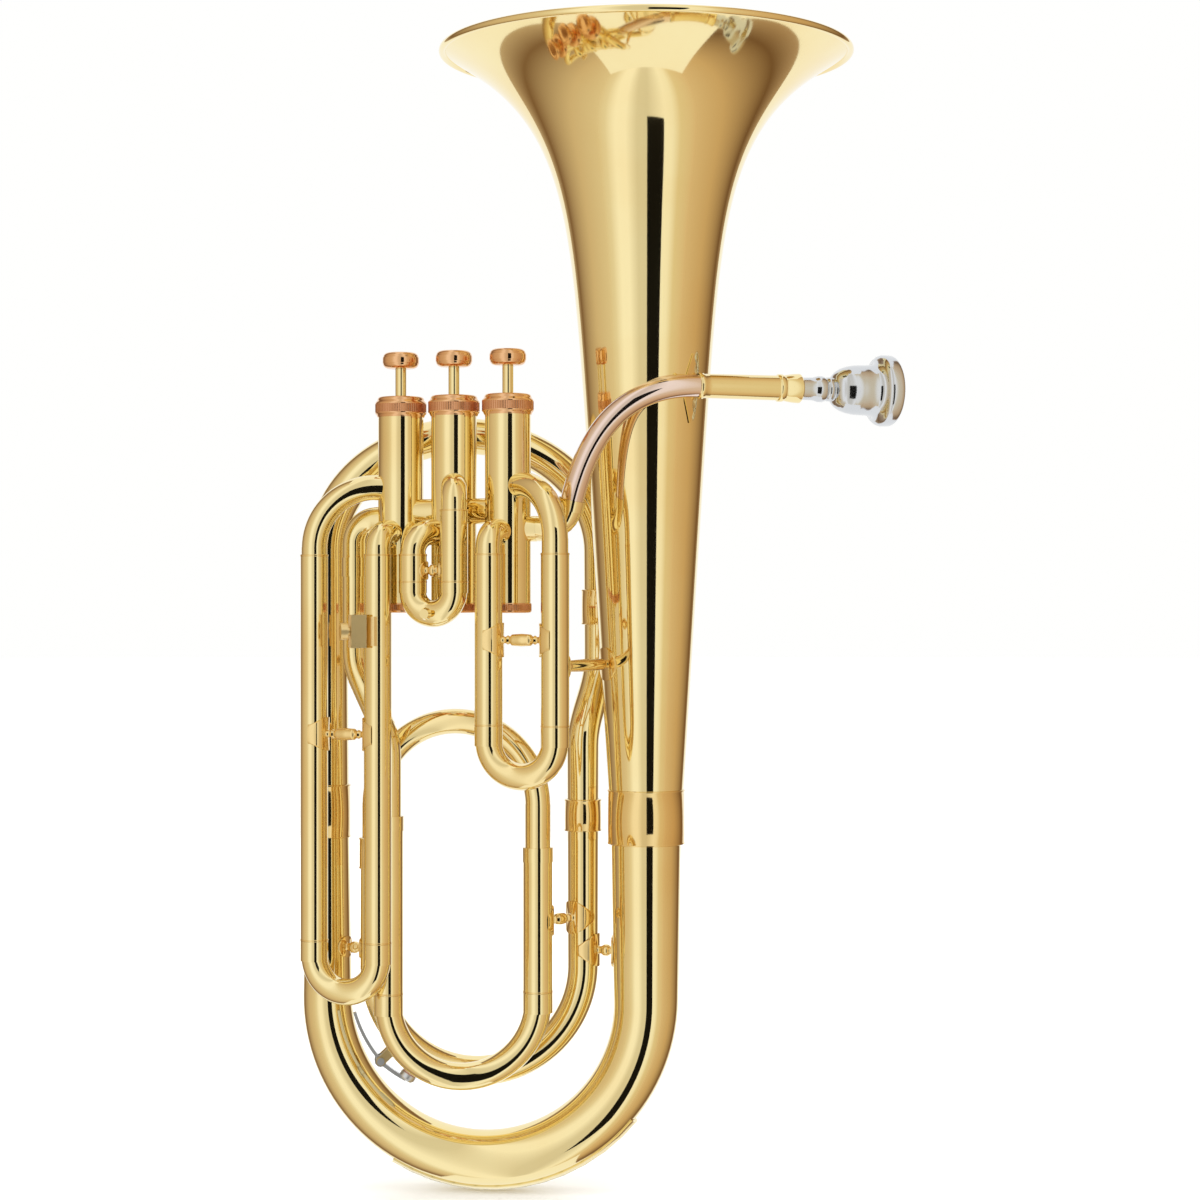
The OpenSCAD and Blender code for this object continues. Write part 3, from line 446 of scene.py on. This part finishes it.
small_left = at(-62.8, 3, 0)
branch_top = at(63.2, 33, 0)
branch_foot = at(53.4, 15, 0)
for name, plan, foot, top, outer, bore_foot, bore_top, nodes in (
        ("bell_ferrule_band", bell_plan, 195, 225.5, 21.3, 19.65, 20.95, ["bell_ferrule"]),
        ("left_ferrule_band", left_plan, 197, 227, 12.7, 12.3, 12.05, ["left_ferrule"]),
        ("top_joint_band", branch_top, 317, 337, 10.6, 9.35, 9.35, ["branch_ferrules"]),
        ("middle_joint_band", branch_foot, 201, 219, 10.2, 8.9, 8.9, []),
        ("small_bow_band", small_left, 181, 198.5, 8.6, 7.95, 7.2, [])):
    band(name, plan, foot * mm, top * mm, outer * mm, bore_foot * mm, bore_top * mm, nodes)

# Top bow: the same tapered brass branch, bent over a mandrel. It is carried up the far side, over the
# valves and down behind the bell.
top_spring = 359 * mm
top_rise = 65 * mm
top_small_r = 9.2 * mm
top_joint = 327 * mm
top_route = ([standing(branch_top, top_joint)] + bow(branch_top, left_plan, top_spring, top_rise, 56)
             + [standing(left_plan, z * mm) for z in (320, 280, 240, 212.2)])
finish(sweep(top_route, taper(top_route, top_small_r, branch_r), side_of(branch_top, left_plan), 64),
       "top_bow_branch", lacquered_brass, "plumbing", ["top_bow"])

# Small branch: drawn brass tube, soldered into a band at each end. It leans over between the two so
# that it clears the bell.
small_r = 8.75 * mm
lean_top = 299 * mm
lean_foot = 249 * mm
lean_steps = 14
lean = [standing(branch_top + (1 - cos(pi * i / lean_steps)) / 2 * (branch_foot - branch_top),
                 lean_top + i / lean_steps * (lean_foot - lean_top)) for i in range(lean_steps + 1)]
small_branch_route = ([standing(branch_top, top_joint - 0.2 * mm)] + lean
                      + [standing(branch_foot, 210 * mm)])
finish(sweep(small_branch_route, taper(small_branch_route, top_small_r, small_r),
             side_of(left_plan, branch_top)),
       "small_branch_tube", lacquered_brass, "plumbing", ["small_branch"])

# Small bow: a half turn of tapered brass tube in front of the bottom bow. It is bent like the bottom
# bow, and the water key is soldered to its left.
small_bow_spring = 125.4 * mm
small_left_r = 7.9 * mm
small_half = (branch_foot - small_left).length / 2
small_route = ([standing(small_left, 189 * mm), standing(small_left, 150 * mm)]
               + bow(small_left, branch_foot, small_bow_spring, -small_half, 48)
               + [standing(branch_foot, 160 * mm), standing(branch_foot, 209.8 * mm)])
finish(sweep(small_route, taper(small_route, small_left_r, small_r), side_of(small_left, branch_foot)),
       "small_bow_tube", lacquered_brass, "plumbing", ["small_bow"])

# Tuning crook, sleeves and slide: straight-drawn brass tube. The crook and the slide are bent, and the
# slide's legs are lapped into the sleeves to run without play.
dress(lacquered_brass, "tuning_crook", "valve_exit_tube", "tuning_sleeve_left", "tuning_sleeve_right",
      "tuning_slide")

# Valve casings: seamless brass tube, turned and bored on a lathe, with threads at both ends for the
# caps. The crossovers are silver-soldered between them.
dress(lacquered_brass, "valve_casing_1", "valve_casing_2", "valve_casing_3", "crossover_tubes")

# Valve caps: turned from brass bar, screwed on, and lacquered over a redder polish than the tubes.
# The band is cut with fine upright teeth and left satin; the rest of the cap is bright.
cap_brass = metal("cap_brass", (0.86, 0.52, 0.27, 1), (0.76, 0.38, 0.17, 1), 0.06, 0.1, 0.2)
milled_brass = metal("milled_brass", (0.74, 0.38, 0.20, 1), (0.62, 0.28, 0.13, 1), 0.24, 0.3, 0)
valve_middle = at(-17.1, -25, 0)
row_turn = radians(-20.2)
valve_gap = 31.9
valve_row = Matrix.Rotation(row_turn, 3, "Z") @ at(valve_gap, 0, 0)
teeth = 72
tooth_depth = 0.15 * mm
tooth_band = 0.9
top_cap_outline = [
    (3.1, 434.7), (11, 434.7), (11, 437.6), (12.55, 437.6), (12.55, 431.8), (12.9, 431.8),
    (13.1, 432.2), (13.35, 432.9), (13.85, 433.5), (14.1, 433.8), (14.2, 434.1), (14.15, 434.4),
    (13.85, 434.5), (13.85, 438.8), (14.15, 438.9), (14.2, 439.2), (14.1, 439.6), (13.8, 440.1),
    (13.2, 440.8), (12.95, 441.2), (12.85, 441.7), (12.6, 442.3), (12.2, 442.75), (11.6, 443),
    (9, 443), (8.8, 442.8), (8.4, 442.8), (8.2, 443), (5, 443), (4.8, 443.25), (4.2, 443.25),
    (3.9, 443), (3.1, 443)]
bottom_cap_outline = [
    (2.5, 324), (12, 324), (12.4, 324.1), (12.75, 324.4), (12.95, 324.8), (12.95, 325.2),
    (12.7, 325.3), (12.7, 328.5), (12.95, 328.6), (12.95, 329), (12.8, 329.3), (12.55, 329.4),
    (11.88, 329.4), (11.88, 326), (2.5, 326)]


def valve_plan(i):
    return valve_middle + (2 - i) * valve_row


def to_scale(outline, lift=0):
    return [(radius * mm, (height + lift) * mm) for radius, height in outline]


def grip(name, plan, outer, foot, top):
    """A milled band: every second column of its face is drawn in by the depth of a tooth."""
    inner = outer - tooth_band
    face = (inner + outer) / 2 * mm
    mesh = spun(to_scale([(inner, foot), (outer, foot), (outer, top), (inner, top)]), plan, 2 * teeth)
    turn = pi / teeth
    low = [vert for vert in mesh.verts if (vert.co - plan).xy.length > face
           and round((vert.co - plan).xy.angle_signed(Vector((1, 0))) / turn) % 2]
    drawn_in = 1 - tooth_depth / (outer * mm)
    bmesh.ops.transform(mesh, verts=low, matrix=Matrix.Translation(plan) @ Matrix.Diagonal(
        (drawn_in, drawn_in, 1, 1)) @ Matrix.Translation(-plan))
    finish(mesh, name, milled_brass, "plumbing", crease=20)


for i in (1, 2, 3):
    finish(spun(to_scale(top_cap_outline), valve_plan(i)), "top_cap_%d" % i, cap_brass,
           "plumbing", ["valve_top_caps"] if i == 1 else [])
    finish(spun(to_scale(bottom_cap_outline), valve_plan(i)), "bottom_cap_%d" % i, cap_brass,
           "plumbing", ["valve_bottom_caps"] if i == 1 else [])
    grip("top_cap_grip_%d" % i, valve_plan(i), 14.1, 434.4, 438.9)
    grip("bottom_cap_grip_%d" % i, valve_plan(i), 12.9, 325.2, 328.6)

# Pistons, stems, felts and finger buttons: each valve's moving stack. The piston is drawn in a hard
# white alloy and lapped to its casing, and a felt washer quietens its return. The stem screws into
# the piston, and the button onto the stem.
piston_alloy = metal("piston_alloy", (0.72, 0.71, 0.69, 1), (0.62, 0.61, 0.58, 1), 0.16, 0.1, 0)
felt, felt_nodes, felt_surface = new_material("felt", {"Roughness": 0.95})
felt_place = felt_nodes.node("ShaderNodeTexCoord", {}, {}, 3)
felt_fuzz = felt_nodes.node("ShaderNodeTexNoise", {}, {"Vector": felt_place, "Scale": 900, "Detail": 6})
feed(felt, felt_surface, "Base Color", felt_nodes.node("ShaderNodeMix", {"data_type": "RGBA"}, {
    0: felt_fuzz, 6: (0.32, 0.02, 0.02, 1), 7: (0.5, 0.06, 0.05, 1)}, 2))
feed(felt, felt_surface, "Normal", felt_nodes.node("ShaderNodeBump", {}, {
    "Height": felt_fuzz, "Strength": 0.8, "Distance": 0.0006}))
button_foot = 458.6
button_outline = [
    (0, 4.6), (2.03, 4.6), (2.03, 0), (6.2, 0), (7.5, 0.2), (8.6, 0.7), (9.3, 1.4), (9.7, 2.2),
    (9.75, 2.6), (9.95, 2.8), (10.05, 3.3), (10.05, 5.9), (9.95, 6.4), (9.75, 6.6), (9.7, 7),
    (9.3, 7.8), (8.6, 8.5), (7.6, 8.9), (6.6, 9), (6.3, 8.8), (5, 8.62), (2.5, 8.52), (0, 8.5)]
for i in (1, 2, 3):
    dress(piston_alloy, "piston_%d" % i)
    dress(lacquered_brass, "valve_stem_%d" % i)
    finish(spun(to_scale(button_outline, button_foot), valve_plan(i)), "button_%d" % i, cap_brass,
           "valve_%d" % i, ["finger_button_%d" % i])
    dress(felt, "piston_felt_%d" % i)

# Valve springs: steel music wire, wound with a closed coil at each end. Each stands on its bottom cap and
# rides on its valve's body.
spring_wire = metal("spring_wire", (0.56, 0.57, 0.6, 1), (0.42, 0.42, 0.44, 1), 0.22, 0.1, 0)
spring_foot = 326.6
spring_top = 357.9
spring_coil = 8.2 * mm
spring_wire_r = 0.5
spring_turns = 8
closed_pitch = 1.1
steps_a_turn = 24
open_pitch = (spring_top - spring_foot - 2 * closed_pitch) / (spring_turns - 2)


def coil_height(turns):
    """How high the wire stands after so many turns: close at both ends, open between them."""
    open_turns = min(max(turns - 1, 0), spring_turns - 2)
    return spring_foot + open_turns * open_pitch + (turns - open_turns) * closed_pitch


def coil_point(plan, turns):
    around = Vector((cos(2 * pi * turns), sin(2 * pi * turns), 0))
    return plan + spring_coil * around + at(0, 0, coil_height(turns))


for i in (1, 2, 3):
    spring_route = [coil_point(valve_plan(i), step / steps_a_turn)
                    for step in range(spring_turns * steps_a_turn + 1)]
    wire_radii = [spring_wire_r * mm] * len(spring_route)
    spring = finish(sweep(spring_route, wire_radii, Vector((0, 0, 1)), 10, 0), "spring_coil_%d" % i,
                    spring_wire, "valve_%d" % i, ["valve_spring_%d" % i], 60)
    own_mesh(spring)

# Valve slides: a bent knuckle and an outer sleeve soldered to each port, and a bow with two long inner
# legs, all in drawn brass tube.
dress(lacquered_brass, "first_sleeve_left", "first_sleeve_right", "second_sleeve_left",
      "second_sleeve_right", "third_sleeve_left", "third_sleeve_right", "first_slide", "second_slide",
      "third_slide")

# Sleeve lips: each outer sleeve is burnished down onto its knuckle and rolled at its mouth, so a
# thin bright line stands at both ends.
lip_height = 1.2
lip_outline = [(-0.3, 0), (0.08, 0.05), (0.2, 0.3), (0.2, 0.9), (0.08, 1.15), (-0.3, lip_height)]
for name, x, y, outer, foot, head in (
        ("first_left", 3.2, -57, 7.55, 263.3, 356), ("first_right", 39.1, -71, 7.55, 263.3, 356),
        ("second_left", -38.7, -38.5, 7.55, 340.2, 356), ("second_right", -15.9, -47.5, 7.55, 340.2, 380),
        ("third_left", -94.1, -21, 7.55, 143.7, 356), ("third_right", -58, -35, 7.55, 143.7, 356),
        ("tuning_left", -53.6, -18, 8.15, 113.5, 212), ("tuning_right", 28.5, -10, 8.15, 113.5, 194)):
    for end, height in (("foot", foot), ("head", head - lip_height)):
        outline = [((outer + out) * mm, (height + up) * mm) for out, up in lip_outline]
        finish(spun(outline, at(x, y, 0), 64), "%s_lip_%s" % (name, end), ferrule_brass,
               "plumbing", crease=25)

# Leadpipe: seamless rose brass, drawn on a taper. It sweeps up from the first valve to the receiver and
# is redder than the rest of the horn.
rose_brass = metal("rose_brass", (0.85, 0.69, 0.61, 1), (0.79, 0.57, 0.46, 1), 0.05, 0.08, 0.25)
pipe_foot = at(47.3, -44, 382)
pipe_foot_way = Vector((0.22, -0.12, 0.97)).normalized()
pipe_end = at(117.4, -43, 447)
mouth_turn = radians(19)
mouth_way = Vector((cos(mouth_turn), sin(mouth_turn), 0))
foot_pull = 42 * mm
mouth_pull = 44 * mm
pipe_foot_r = 6.5 * mm
pipe_end_r = 6.05 * mm
pipe_wall = 0.55 * mm


def curve_through(a, b, c, d, steps):
    return [(1 - t) ** 3 * a + 3 * (1 - t) ** 2 * t * b + 3 * (1 - t) * t * t * c + t ** 3 * d
            for t in (i / steps for i in range(steps + 1))]


pipe_route = curve_through(pipe_foot, pipe_foot + foot_pull * pipe_foot_way,
                           pipe_end - mouth_pull * mouth_way, pipe_end, 48)
finish(sweep(pipe_route, taper(pipe_route, pipe_foot_r, pipe_end_r), Vector((0, 1, 0)), wall=pipe_wall),
       "leadpipe_tube", rose_brass, "plumbing", ["leadpipe"])

# Leadpipe elbow: yellow brass, brazed to the first casing. A ring on its upper end is soldered over the
# leadpipe's foot.
skin("leadpipe_elbow", lacquered_brass, "plumbing", 45)

# Mouthpiece receiver: drawn brass tube with a turned ring at its foot and a rolled collar at its mouth,
# soldered to the end of the leadpipe.
skin("mouthpiece_receiver", lacquered_brass, "plumbing", 42)

# Mouthpiece: turned from brass bar and silver-plated. It is pressed by hand into the receiver's taper
# and pulled out to be cleaned.
silver_plate = metal("silver_plate", (0.69, 0.71, 0.74, 1), (0.56, 0.58, 0.61, 1), 0.07, 0.05, 0)
skin("mouthpiece", silver_plate, "mouthpiece_body", 40)

# Braces: turned brass rods between round saddle feet. The feet are bent to their tubes and soft-soldered
# on, so the horn keeps its shape when it is gripped.
for node in ("bell_brace", "leadpipe_brace", "slide_braces", "bow_braces"):
    skin(node, ferrule_brass, "plumbing", 50)

# Lyre socket: a milled brass block soldered to the third slide's sleeve. Its thumb screw clamps the stem
# of the music holder.
satin_brass = metal("satin_brass", (0.88, 0.68, 0.33, 1), (0.78, 0.52, 0.20, 1), 0.22, 0.12, 0.1)
dress(satin_brass, "lyre_socket", "lyre_screw")

# Water key: a silver-plated lever on a brass saddle, held down by a wire spring. Its cork pad closes the
# drain nipple soldered into the small bow.
cork, cork_nodes, cork_surface = new_material("cork", {"Roughness": 0.85})
cork_place = cork_nodes.node("ShaderNodeTexCoord", {}, {}, 3)
cork_cells = cork_nodes.node("ShaderNodeTexVoronoi", {}, {"Vector": cork_place, "Scale": 1100})
feed(cork, cork_surface, "Base Color", cork_nodes.node("ShaderNodeMix", {"data_type": "RGBA"}, {
    0: cork_cells, 6: (0.42, 0.22, 0.13, 1), 7: (0.62, 0.38, 0.25, 1)}, 2))
feed(cork, cork_surface, "Normal", cork_nodes.node("ShaderNodeBump", {}, {
    "Height": cork_cells, "Strength": 0.6, "Distance": 0.0004}))
dress(satin_brass, "water_key_saddle")
dress(metal("satin_plate", (0.72, 0.74, 0.77, 1), (0.58, 0.60, 0.63, 1), 0.22, 0.1, 0), "water_key_lever",
      "water_key_screw")
dress(cork, "water_key_cork")
dress(spring_wire, "water_key_spring")
